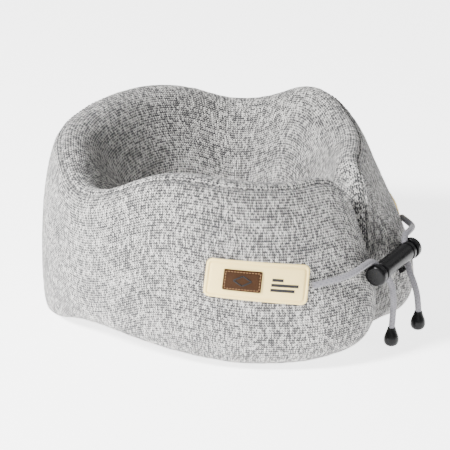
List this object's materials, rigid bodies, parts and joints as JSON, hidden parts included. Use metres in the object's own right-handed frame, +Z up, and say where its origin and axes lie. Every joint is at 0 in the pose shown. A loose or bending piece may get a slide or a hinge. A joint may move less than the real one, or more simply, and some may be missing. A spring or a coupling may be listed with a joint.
{
  "type": "u shaped neck pillow",
  "caption": "U shaped travel neck pillow with a raised nape and cheek humps, a zipped knit cover over foam, and a cord with a push-button lock across the front.",
  "frame": {"origin": "on the floor plane under the middle of the pillow's box", "axes": "+Z up as the pillow stands, +Y towards the back of the neck, so the gap between the arm ends faces -Y, and +X towards the wearer's left"},
  "size_m": [0.2516, 0.2996, 0.1452],
  "materials": {
    "knit_light": "light grey melange knit",
    "knit": "light grey melange knit",
    "liner": "thin plain weave",
    "foam": "open-cell foam",
    "tape": "woven tape",
    "teeth": "moulded teeth",
    "zipper_metal": "plated die casting",
    "label": "cream felted cloth with an embossed border",
    "badge": "brown leather with light stitches",
    "black_plastic": "satin moulded",
    "spring_steel": "spring wire",
    "cord": "round braided cord"
  },
  "bodies": {
    "pillow": {"cover_inner_panel": "knit_light", "cover_outer_panel": "knit", "inner_liner": "liner", "foam_core": "foam", "zipper_tape_inner": "tape", "zipper_tape_outer": "tape", "zipper_teeth": "teeth", "zipper_stops": "zipper_metal", "right_label_patch": "label", "left_label_patch": "label", "right_badge": "badge", "left_badge": "badge", "right_lock_barrel": "black_plastic", "left_lock_barrel": "black_plastic", "right_lock_spring": "spring_steel", "left_lock_spring": "spring_steel", "right_cord": "cord", "left_cord": "cord", "right_cord_tip": "black_plastic", "left_cord_tip": "black_plastic"},
    "right_button": {"right_lock_button": "black_plastic"},
    "left_button": {"left_lock_button": "black_plastic"},
    "slider": {"zipper_slider": "zipper_metal"},
    "pull": {"zipper_pull": "zipper_metal"}
  },
  "joints": [
    {"name": "right_button_press", "type": "slide", "parent": "pillow", "child": "right_button", "axis": [1, 0, 0], "range_m": [0, 0.002], "stiffness_N_per_m": 600, "springref_m": -0.002, "deforming": ["right_lock_spring"]},
    {"name": "left_button_press", "type": "slide", "parent": "pillow", "child": "left_button", "axis": [-1, 0, 0], "range_m": [0, 0.002], "stiffness_N_per_m": 600, "springref_m": -0.002, "deforming": ["left_lock_spring"]},
    {"name": "zipper_slide", "type": "hinge", "parent": "pillow", "child": "slider", "pos_m": [0, -0.002, 0.0103], "axis": [0, 0, 1], "range_deg": [0, 58], "deforming": ["zipper_teeth"]},
    {"name": "zipper_pull_swing", "type": "hinge", "parent": "slider", "child": "pull", "pos_m": [0.04969, 0.08765, 0.0069], "axis": [-0.4848, -0.8746, 0], "range_deg": [0, 100]}
  ]
}
